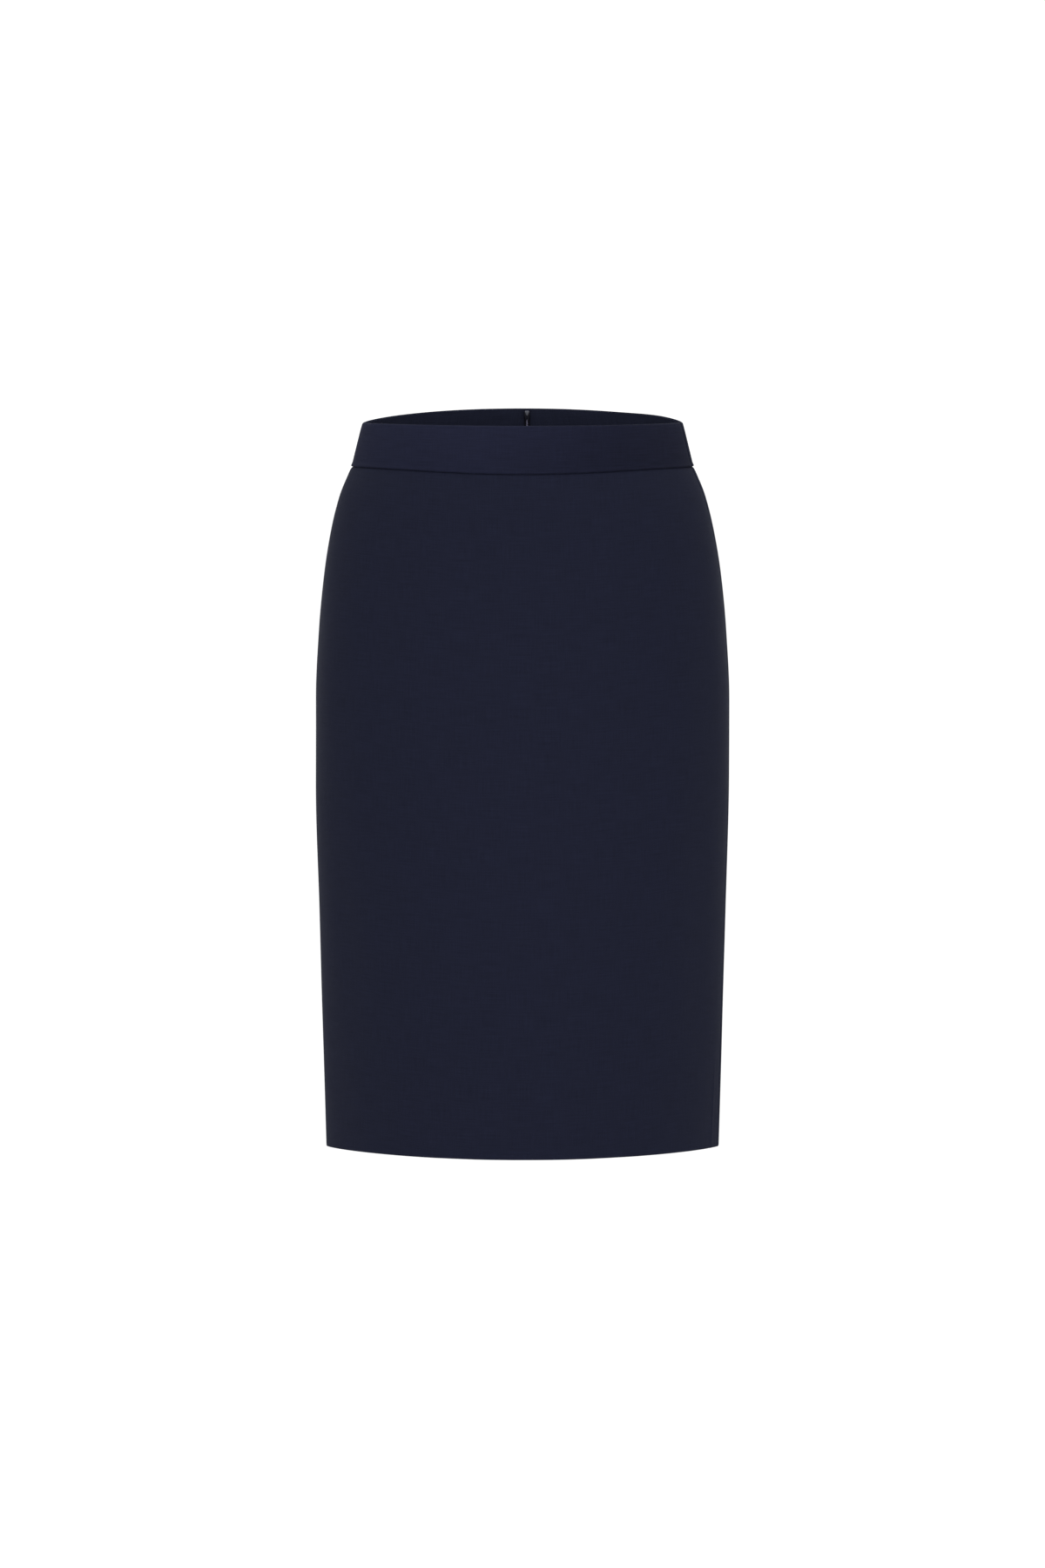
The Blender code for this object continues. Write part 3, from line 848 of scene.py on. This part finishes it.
def facing(cut, cloth, sizes):
    """It lies inside the band, and rises over the zip tape where it stops beside the coil."""
    lies_at = 2.05 * MM
    over_tape = 2.55 * MM
    setback = 3.2 * MM / ZIP_RADIUS
    first = cut.start + setback * (cut.start == CENTRE_BACK)
    last = cut.end - setback * (cut.end == CENTRE_BACK)
    count = round(cut.facing_length / sizes.spacing)
    columns = [Column(first, 0.0, 0.0), *even_columns(first, last, count), Column(last, 0.0, 0.0)]
    columns = with_side_fold(columns)
    rows = [
        Row(0.7 * MM, 0.1 * MM),
        Row(0.9 * MM, 0.0),
        Row(1.4 * MM, -0.05 * MM),
        *even_rows(1.4 * MM, BAND_SEAM - 0.4 * MM, 1.8 * MM),
        Row(BAND_SEAM - 0.4 * MM, 0.0),
    ]

    def adjust(azimuth, row, inset):
        away = np.abs(azimuth - CENTRE_BACK) * ZIP_RADIUS
        rise = 1 - smooth_step(away, 15 * MM, 24 * MM)
        return inset + lies_at + (over_tape - lies_at) * rise

    node = f"facing_{cut.part}"
    return cloth_sheet(node, columns, rows, cloth, 0.6 * MM, adjust)


class SKIRT_OT_facing(bpy.types.Operator):
    """Line the waistband with its facing, short of the zip"""

    bl_idname = "skirt.facing"
    bl_label = "Facing"

    def execute(self, context):
        sizes, colours = context.scene.skirt_sizes, context.scene.skirt_colours
        cloth = suiting("facing", colours.facing, sizes.thread_pitch, slub=0.2)
        for cut in THREE_CUTS:
            facing(cut, cloth, sizes)
        return {"FINISHED"}


# The zip --------

ZIP_TOP = 0.8 * MM
ZIP_BOTTOM = 195 * MM
TAPE_INSET = 1.55 * MM
COIL_INSET = 3.0 * MM
COIL_TOP = 7.9 * MM
COIL_PITCH = 0.75 * MM
TAPE_STATIONS = (12.0, 9.0, 6.0, 3.0, 1.2, 0.4)


def zip_tape(node, side, material):
    """A knitted tape beside the closed edges: side is -1 for the wearer's left."""
    columns = [Column(CENTRE_BACK, side * away * MM, TAPE_INSET) for away in TAPE_STATIONS]
    rows = [Row(ZIP_TOP, 0.0), *even_rows(ZIP_TOP, ZIP_BOTTOM, 3 * MM), Row(ZIP_BOTTOM, 0.0)]
    return cloth_sheet(node, columns[::-side], rows, material, 0.5 * MM)


class SKIRT_OT_zip_tapes(bpy.types.Operator):
    """Lay the two zip tapes inside the centre back"""

    bl_idname = "skirt.zip_tapes"
    bl_label = "Zip Tapes"

    def execute(self, context):
        material = zip_tape_finish(context.scene.skirt_colours.tape)
        for node, side in (("zip_tape_left", -1), ("zip_tape_right", 1)):
            zip_tape(node, side, material)
        return {"FINISHED"}


def on_centre_back(level, inset):
    """A point inside the centre back, at a depth in from the cloth's face."""
    return Vector(skirt_points(np.array([CENTRE_BACK]), level, np.array([inset]))[0])


class SKIRT_OT_zip_coil(bpy.types.Operator):
    """Close the zip's nylon coil: loops from each side in turn"""

    bl_idname = "skirt.zip_coil"
    bl_label = "Zip Coil"

    def execute(self, context):
        material = nylon_finish(context.scene.skirt_colours.coil)
        shape = bmesh.new()
        count = int((ZIP_BOTTOM - 2 * MM - COIL_TOP) / COIL_PITCH)
        for number in range(count):
            side = 1 if number % 2 else -1
            centre = on_centre_back(COIL_TOP + COIL_PITCH * (number + 0.5), COIL_INSET)
            move = Matrix.Translation(centre + Vector((side * 0.12 * MM, 0, 0)))
            lean = Matrix.Rotation(math.radians(9 * side), 4, "Y")
            loop = Matrix.Diagonal((0.78 * MM, 0.55 * MM, 0.33 * MM, 1))
            bmesh.ops.create_uvsphere(
                shape, u_segments=10, v_segments=6, radius=1.0, matrix=move @ lean @ loop
            )
        sew_on(settled("zip_coil_loops", shape, material), "zip_coil")
        return {"FINISHED"}


# The slider and its pull tab --------

PIVOT_LEVEL = 4.4 * MM
PIVOT_STANDOFF = 1.2 * MM
BODY_TOP = 3.6 * MM
BODY_BOTTOM = -4.0 * MM
BODY_FACE = -3.5 * MM
BODY_DEPTH = 1.5 * MM


def slider_seat():
    """The slider's place: its origin on the pull tab's pin, Y out of the cloth, Z up it."""
    upper, lower = on_centre_back(0.0, 0.0), on_centre_back(BAND_SEAM, 0.0)
    lean = math.atan2(lower.y - upper.y, upper.z - lower.z)
    turn = Matrix.Rotation(lean, 4, "X")
    pivot = Matrix.Translation(on_centre_back(PIVOT_LEVEL, 0.0))
    return pivot @ turn @ Matrix.Translation((0, PIVOT_STANDOFF, 0))


def arc(x, y, radius, start, end, steps):
    """Points on an arc about a centre, from one angle in degrees to another."""
    angles = np.radians(np.linspace(start, end, steps + 1))
    return [(x + radius * math.cos(angle), y + radius * math.sin(angle)) for angle in angles]


def mirrored(half):
    """An outline from the points of its right half, from the bottom up."""
    return half + [(-x, y) for x, y in reversed(half)]


UPRIGHT = Matrix(((1, 0, 0, 0), (0, 0, -1, 0), (0, 1, 0, 0), (0, 0, 0, 1)))
SIDEWAYS = Matrix(((0, 0, 1, 0), (1, 0, 0, 0), (0, 1, 0, 0), (0, 0, 0, 1)))


def stamped(shape, outline, thickness, place, edge):
    """Adds a plate cut to an outline, with its edges rounded over."""
    corners = [shape.verts.new((x, y, -thickness / 2)) for x, y in outline]
    face = shape.faces.new(corners)
    raised = bmesh.ops.extrude_face_region(shape, geom=[face])["geom"]
    lifted = [part for part in raised if isinstance(part, bmesh.types.BMVert)]
    bmesh.ops.translate(shape, verts=lifted, vec=(0, 0, thickness))
    plate = corners + lifted
    links = dict.fromkeys(link for vert in plate for link in vert.link_edges)
    rims = [link for link in links if abs(link.verts[0].co.z - link.verts[1].co.z) < 1e-9]
    rounding = {"offset_type": "OFFSET", "segments": 3, "profile": 0.5, "material": -1}
    rounded = bmesh.ops.bevel(shape, geom=rims, offset=edge, affect="EDGES", **rounding)
    moved = {vert for vert in plate if vert.is_valid} | set(rounded["verts"])
    bmesh.ops.transform(shape, matrix=place, verts=list(moved))


def settled(name, shape, material, seat=Matrix()):
    """Smooths a shape, moves it to its seat and makes it an object."""
    bmesh.ops.recalc_face_normals(shape, faces=shape.faces)
    for face in shape.faces:
        face.smooth = True
    bmesh.ops.transform(shape, matrix=seat, verts=shape.verts)
    return finished(name, shape, material)


def slider_body():
    """A lacquered block, narrower towards its lower end, with a rail down each side."""
    shape = bmesh.new()
    wide, narrow = 2.05 * MM, 1.45 * MM
    half = [
        (narrow, BODY_BOTTOM),
        (wide, BODY_TOP - 2.2 * MM),
        *arc(0.9 * MM, BODY_TOP - 1.15 * MM, 1.15 * MM, 0, 90, 6),
    ]
    back = Matrix.Translation((0, BODY_FACE - BODY_DEPTH / 2, 0)) @ UPRIGHT
    stamped(shape, mirrored(half), BODY_DEPTH, back, edge=0.3 * MM)
    for side in (-1, 1):
        low, high = BODY_BOTTOM + 0.1 * MM, BODY_TOP - 2.4 * MM
        rail = [
            (side * (narrow - 0.05 * MM), low),
            (side * (narrow - 0.6 * MM), low),
            (side * (wide - 0.6 * MM), high),
            (side * (wide - 0.05 * MM), high),
        ]
        inner = Matrix.Translation((0, BODY_FACE - BODY_DEPTH - 0.1 * MM, 0)) @ UPRIGHT
        stamped(shape, rail[::side], 0.6 * MM, inner, edge=0.16 * MM)
    return shape


def slider_nose():
    """The bare metal wedge at the slider's top, rounded above and pointed below."""
    shape = bmesh.new()
    half = [
        (1.25 * MM, BODY_TOP - 2.3 * MM),
        *arc(0.95 * MM, BODY_TOP - 0.75 * MM, 0.85 * MM, -20, 90, 7),
    ]
    outline = [(0, BODY_TOP - 4.3 * MM), *mirrored(half)]
    place = Matrix.Translation((0, BODY_FACE - BODY_DEPTH - 0.25 * MM, 0)) @ UPRIGHT
    stamped(shape, outline, 0.9 * MM, place, edge=0.34 * MM)
    return shape


def eye(shape, half_width, near, far):
    """Adds a flat ring about the pin's axis, spun from a small square."""
    corners = [(-half_width, near), (half_width, near), (half_width, far), (-half_width, far)]
    start = [shape.verts.new((along, 0, out)) for along, out in corners]
    loop = [shape.edges.new((start[i], start[(i + 1) % 4])) for i in range(4)]
    turn = {"cent": (0, 0, 0), "axis": (1, 0, 0), "angle": 2 * math.pi, "steps": 28}
    bmesh.ops.spin(shape, geom=start + loop, use_merge=True, **turn)


def slider_lug():
    """The lug that stands out between the closed edges, with an eye for the pull tab."""
    shape = bmesh.new()
    eye(shape, 0.4 * MM, 0.74 * MM, 1.3 * MM)
    reach = BODY_FACE - 0.4 * MM
    neck = [(-1.0 * MM, -0.85 * MM), (-1.0 * MM, 0.85 * MM), (reach, 1.2 * MM), (reach, -1.2 * MM)]
    stamped(shape, neck, 0.8 * MM, SIDEWAYS, edge=0.1 * MM)
    return shape


class SKIRT_OT_zip_metal(bpy.types.Operator):
    """Plate the slider and the pull tab"""

    bl_idname = "skirt.zip_metal"
    bl_label = "Slider and Pull Tab"

    def execute(self, context):
        colours = context.scene.skirt_colours
        nickel = nickel_finish(colours.metal)
        lacquer = lacquer_finish(colours.lacquer, "dyed lacquer")
        seat = slider_seat()
        sew_on(settled("slider_body", slider_body(), lacquer, seat), "zip_slider")
        # The nose gets a light grey lacquer: painted reflection of its bare metal.
        nose_reflection = lacquer_finish(colours.nose_reflection, "nose reflection lacquer")
        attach(settled("slider_nose", slider_nose(), nose_reflection, seat), "skirt")
        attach(settled("slider_lug", slider_lug(), nickel, seat), "skirt")
        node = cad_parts["zip_pull_tab"]
        node.data.materials.clear()
        node.data.materials.append(nickel)
        return {"FINISHED"}


# Threads --------

THREAD_SIDES = 5
LOCKSTITCH = 2.4 * MM
OVERLOCK = 2.6 * MM


def sewn_row(azimuth, shift, level, inset):
    """Points of the hanging cloth at one level, shifted along it and moved inwards."""
    along = np.atleast_1d(azimuth + shift / speed(azimuth, level))
    return skirt_points(along, level, inset + drape(along, level))


def thread(shape, path, radius):
    """Adds a thread along a path of points, closed at both ends."""
    ahead = unit(np.gradient(path, axis=0))
    beside = unit(np.cross(ahead, unit(path * (1, 1, 0))))
    above = np.cross(beside, ahead)
    turns = np.arange(THREAD_SIDES) * 2 * math.pi / THREAD_SIDES
    rings = []
    for point, side, up in zip(path, beside, above):
        places = [point + radius * (math.cos(t) * side + math.sin(t) * up) for t in turns]
        rings.append([shape.verts.new(place) for place in places])
    for this, following in zip(rings, rings[1:]):
        for corner in range(THREAD_SIDES):
            after = (corner + 1) % THREAD_SIDES
            shape.faces.new((this[corner], this[after], following[after], following[corner]))
    shape.faces.new(rings[0][::-1])
    shape.faces.new(rings[-1])


def along_line(line, share):
    """Points at shares of a line's length."""
    passed = travelled(line)
    at = np.asarray(share) * passed[-1]
    return np.stack([np.interp(at, passed, line[:, axis]) for axis in range(3)], axis=-1)


def lockstitched(shape, line, radius, dip):
    """Adds a row of stitches on a line, each dipping by a distance at its two ends."""
    count = int(travelled(line)[-1] / LOCKSTITCH)
    within = np.array([0.08, 0.2, 0.5, 0.8, 0.92])
    sunk = np.array([1.0, 0.2, 0.0, 0.2, 1.0])[:, None] * dip
    for number in range(count):
        path = along_line(line, (number + within) / count)
        thread(shape, path - unit(path * (1, 1, 0)) * sunk, radius)


def overlocked(shape, edge, inner, radius):
    """Adds one thread whipped over a raw edge, from the edge to a line inside it and back."""
    count = int(travelled(edge)[-1] / OVERLOCK)
    steps = np.arange(4 * count)
    share = steps / (4 * count)
    on_edge = (steps % 4 < 2)[:, None]
    thread(shape, np.where(on_edge, along_line(edge, share), along_line(inner, share)), radius)


def thread_finish(name, colour):
    """Spun polyester thread: fine plies and a soft shine."""
    spun = Finish(name, Specular_IOR_Level=0.25, Sheen_Weight=0.02)
    plies = spun.noise(spun.place(), 4200.0, 2.0)
    spun.dye(plies, colour, 0.7, 1.4)
    spun.feed("Roughness", plies * 0.2 + 0.5)
    spun.bump(plies, 0.05 * MM, 0.5)
    return spun.material


def upright_line(azimuth, shift, top, bottom, inset):
    levels = np.linspace(top, bottom, 40)
    return np.concatenate([sewn_row(azimuth, shift, level, inset) for level in levels])


def level_line(start, end, short, level, inset):
    """From one upright line to another round the body, stopping short by a distance."""
    return sewn_row(np.linspace(start, end, 60), np.linspace(short, -short, 60), level, inset)


class SKIRT_OT_stitches(bpy.types.Operator):
    """Sew the vent's slanted stitches, the zip's stitches and the overlocked raw edges"""

    bl_idname = "skirt.stitches"
    bl_label = "Stitches"

    def execute(self, context):
        sizes, colours = context.scene.skirt_sizes, context.scene.skirt_colours
        sewing = thread_finish("sewing thread", colours.thread)
        self.vent(sizes, sewing)
        self.zip(sewing)
        self.raw_edges(sizes, thread_finish("overlock thread", colours.overlock))
        return {"FINISHED"}

    def vent(self, sizes, material):
        """A slanted row through the left back panel holds up the vent's underlap."""
        shape = bmesh.new()
        top, out, down = sizes.vent_top, sizes.underlap - 2 * MM, 16 * MM
        points = [
            sewn_row(CENTRE_BACK, -out * share - 1 * MM, top + down * share, -0.1 * MM)
            for share in np.linspace(0, 1, 12)
        ]
        lockstitched(shape, np.concatenate(points), 0.11 * MM, 0.3 * MM)
        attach(settled("vent_stitches", shape, material), "skirt")

    def zip(self, material):
        """A row down each tape, on the side towards the body."""
        shape = bmesh.new()
        for side in (-1, 1):
            line = upright_line(
                CENTRE_BACK, side * 8 * MM, BAND_SEAM + 3 * MM, ZIP_BOTTOM, TAPE_INSET + 0.62 * MM
            )
            lockstitched(shape, line, 0.12 * MM, -0.3 * MM)
        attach(settled("zip_stitches", shape, material), "skirt")

    def raw_edges(self, sizes, material):
        shape = bmesh.new()
        wide, reach = sizes.allowance, 3.2 * MM
        near = allowance_inset(sizes) + 0.1 * MM
        turn_up = HEM - sizes.hem_depth
        top = BAND_SEAM + 4 * MM
        seams = [(SIDE_LEFT, turn_up), (SIDE_RIGHT, turn_up), (CENTRE_BACK, sizes.vent_top - 6 * MM)]
        for azimuth, bottom in seams:
            for side in (-1, 1):
                edge = upright_line(azimuth, side * (wide + 0.3 * MM), top, bottom, near)
                inner = upright_line(azimuth, side * (wide - reach), top, bottom, near)
                overlocked(shape, edge, inner, 0.13 * MM)
        near = 1.4 * MM
        for cut in THREE_CUTS:
            ends = cut.start, cut.end, 15 * MM
            edge = level_line(*ends, turn_up - 0.3 * MM, near)
            inner = level_line(*ends, turn_up + reach, near)
            overlocked(shape, edge, inner, 0.13 * MM)
        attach(settled("overlocked_edges", shape, material), "skirt")


# The studio --------

FLOOR_BELOW_WAIST = 1.05
CAMERA_DISTANCE = 9.0
CAMERA_ELEVATION = math.radians(3.5)
LOOK_AT = Vector((0, 0, -0.2955))
FRAME_HEIGHT = 1.2827
SENSOR = 36.0
WORLD_STRENGTH = 1.12


def softbox(name, place, aim, size, power, spread=180):
    light = bpy.data.lights.new(name, "AREA")
    light.spread = math.radians(spread)
    light.shape = "RECTANGLE"
    light.size, light.size_y = size
    light.energy = power
    obj = new_object(name, light)
    obj.location = place
    obj.rotation_euler = (Vector(aim) - Vector(place)).to_track_quat("-Z", "Y").to_euler()


class SKIRT_OT_stage(bpy.types.Operator):
    """Set the pale floor, the soft lights and the camera"""

    bl_idname = "skirt.stage"
    bl_label = "Studio"

    def execute(self, context):
        scene = context.scene
        floor = bmesh.new()
        place = Matrix.Translation((0, 0, -FLOOR_BELOW_WAIST))
        bmesh.ops.create_grid(floor, x_segments=2, y_segments=2, size=30.0, matrix=place)
        paper = finished("studio_floor", floor, paper_finish((0.92, 0.92, 0.92)))
        world = bpy.data.worlds.new("white studio")
        world.use_nodes = True
        sky = world.node_tree.nodes["Background"]
        sky.inputs["Color"].default_value = (1, 1, 1, 1)
        sky.inputs["Strength"].default_value = WORLD_STRENGTH
        scene.world = world
        aim = (0, 0, -0.3)
        softbox("top", (0.0, -0.2, 2.4), aim, (1.8, 1.8), 34)
        for side, turn in (("front", 1), ("rear", -1)):
            softbox(f"{side} key", (-0.9 * turn, -2.4 * turn, 0.7), aim, (1.2, 1.8), 23)
            softbox(f"{side} fill", (1.1 * turn, -2.4 * turn, 0.5), aim, (1.2, 1.8), 17)
            place, middle = (0.1 * turn, -2.6 * turn, -0.28), (0.1 * turn, 0, -0.32)
            softbox(f"{side} middle", place, middle, (0.4, 0.5), 0.22, spread=26)
        camera = bpy.data.cameras.new("camera")
        camera.sensor_width = SENSOR
        camera.lens = SENSOR * CAMERA_DISTANCE / FRAME_HEIGHT
        view = new_object("camera", camera)
        back = Vector((0, -math.cos(CAMERA_ELEVATION), math.sin(CAMERA_ELEVATION)))
        view.location = LOOK_AT + back * CAMERA_DISTANCE
        view.rotation_euler = (-back).to_track_quat("-Z", "Y").to_euler()
        scene.camera = view
        scene.view_settings.view_transform = "Standard"
        return {"FINISHED"}


# The add-on --------

PIECES = [
    SKIRT_OT_front_panel,
    SKIRT_OT_back_panels,
    SKIRT_OT_waistband,
    SKIRT_OT_facing,
    SKIRT_OT_zip_tapes,
    SKIRT_OT_zip_coil,
    SKIRT_OT_zip_metal,
    SKIRT_OT_stitches,
    SKIRT_OT_stage,
]


class SKIRT_PT_pieces(bpy.types.Panel):
    """Lists the skirt's pieces"""

    bl_idname = "SKIRT_PT_pieces"
    bl_label = "Pencil Skirt"
    bl_space_type = "VIEW_3D"
    bl_region_type = "UI"
    bl_category = "Skirt"

    def draw(self, context):
        for group in (context.scene.skirt_sizes, context.scene.skirt_colours):
            for name in group.__annotations__:
                self.layout.prop(group, name)
        for piece in PIECES:
            self.layout.operator(piece.bl_idname)


CLASSES = [SkirtSizes, SkirtColours, *PIECES, SKIRT_PT_pieces]


def register():
    for cls in CLASSES:
        bpy.utils.register_class(cls)
    bpy.types.Scene.skirt_sizes = PointerProperty(type=SkirtSizes)
    bpy.types.Scene.skirt_colours = PointerProperty(type=SkirtColours)


def unregister():
    del bpy.types.Scene.skirt_sizes
    del bpy.types.Scene.skirt_colours
    for cls in reversed(CLASSES):
        bpy.utils.unregister_class(cls)


def main():
    register()
    bpy.ops.skirt.front_panel()
    bpy.ops.skirt.back_panels()
    bpy.ops.skirt.waistband()
    bpy.ops.skirt.facing()
    bpy.ops.skirt.zip_tapes()
    bpy.ops.skirt.zip_coil()
    bpy.ops.skirt.zip_metal()
    bpy.ops.skirt.stitches()
    bpy.ops.skirt.stage()


if __name__ == "__main__":
    main()
